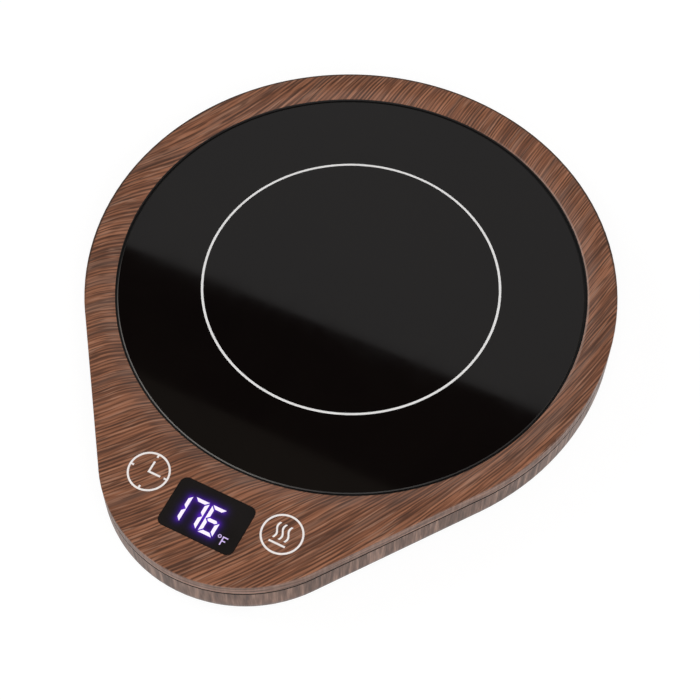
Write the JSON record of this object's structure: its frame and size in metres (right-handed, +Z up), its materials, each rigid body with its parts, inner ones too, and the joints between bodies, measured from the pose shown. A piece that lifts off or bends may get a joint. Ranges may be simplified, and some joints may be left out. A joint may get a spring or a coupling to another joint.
{
  "type": "electric mug warmer",
  "caption": "Flat drop-shaped desktop mug warmer: recessed round glass heating plate in the head, lit display and touch keys in the nose.",
  "frame": {"origin": "middle of the outline, on the surface that the feet stand on", "axes": "+Z up, +Y from the nose towards the round head, +X to the right for a user who faces the nose"},
  "size_m": [0.1352, 0.158, 0.0172],
  "materials": {
    "cover_wood_grain": "reddish brown wood-grain film, satin",
    "base_wood_grain": "reddish brown wood-grain film, satin",
    "plate_glass": "black ceramic glass, polished",
    "plate_print": "fired white enamel",
    "seal_rubber": "matt black",
    "window_smoked": "smoked, polished",
    "display_body": "dark grey moulding",
    "mask_black": "black moulding",
    "conductive_foam": "open-cell foam",
    "cover_print": "pale printed ink",
    "board_green": "solder mask, satin",
    "screw_steel": "zinc plated",
    "chip_black": "moulded black",
    "capacitor_yellow": "yellow case",
    "capacitor_sleeve": "dark blue shrink sleeve",
    "fuse_nickel": "nickel plated caps",
    "terminal_green": "green moulding",
    "socket_cream": "natural nylon",
    "spreader_aluminium": "rolled",
    "film_amber": "amber polyimide",
    "track_steel": "etched foil",
    "pad_fibre": "white ceramic felt",
    "shield_steel": "zinc-coated sheet",
    "probe_sleeve": "resin-dipped",
    "lead_white": "white silicone insulation",
    "lead_black": "black insulation",
    "bush_rubber": "matt black",
    "foot_rubber": "matt black"
  },
  "bodies": {
    "root": {"top_cover": "cover_wood_grain", "base_cover": "base_wood_grain", "glass_plate": "plate_glass", "plate_ring": "plate_print", "seal_ring": "seal_rubber", "display_window": "window_smoked", "led_display": "display_body", "light_mask": "mask_black", "touch_pads": "conductive_foam", "timer_mark": "cover_print", "heat_mark": "cover_print", "control_board": "board_green", "board_screws": "screw_steel", "controller_chip": "chip_black", "triac": "chip_black", "film_capacitor": "capacitor_yellow", "smoothing_capacitor": "capacitor_sleeve", "board_fuse": "fuse_nickel", "mains_terminal": "terminal_green", "heater_terminal": "terminal_green", "sensor_socket": "socket_cream", "heat_spreader": "spreader_aluminium", "heater_film": "film_amber", "heater_track": "track_steel", "insulation_pad": "pad_fibre", "heat_shield": "shield_steel", "shield_screws": "screw_steel", "thermistor": "probe_sleeve", "thermal_fuse": "fuse_nickel", "fuse_clip": "shield_steel", "heater_leads": "lead_white", "sensor_leads": "lead_black", "cord_bush": "bush_rubber", "case_screws": "screw_steel", "rubber_feet": "foot_rubber"}
  },
  "joints": []
}
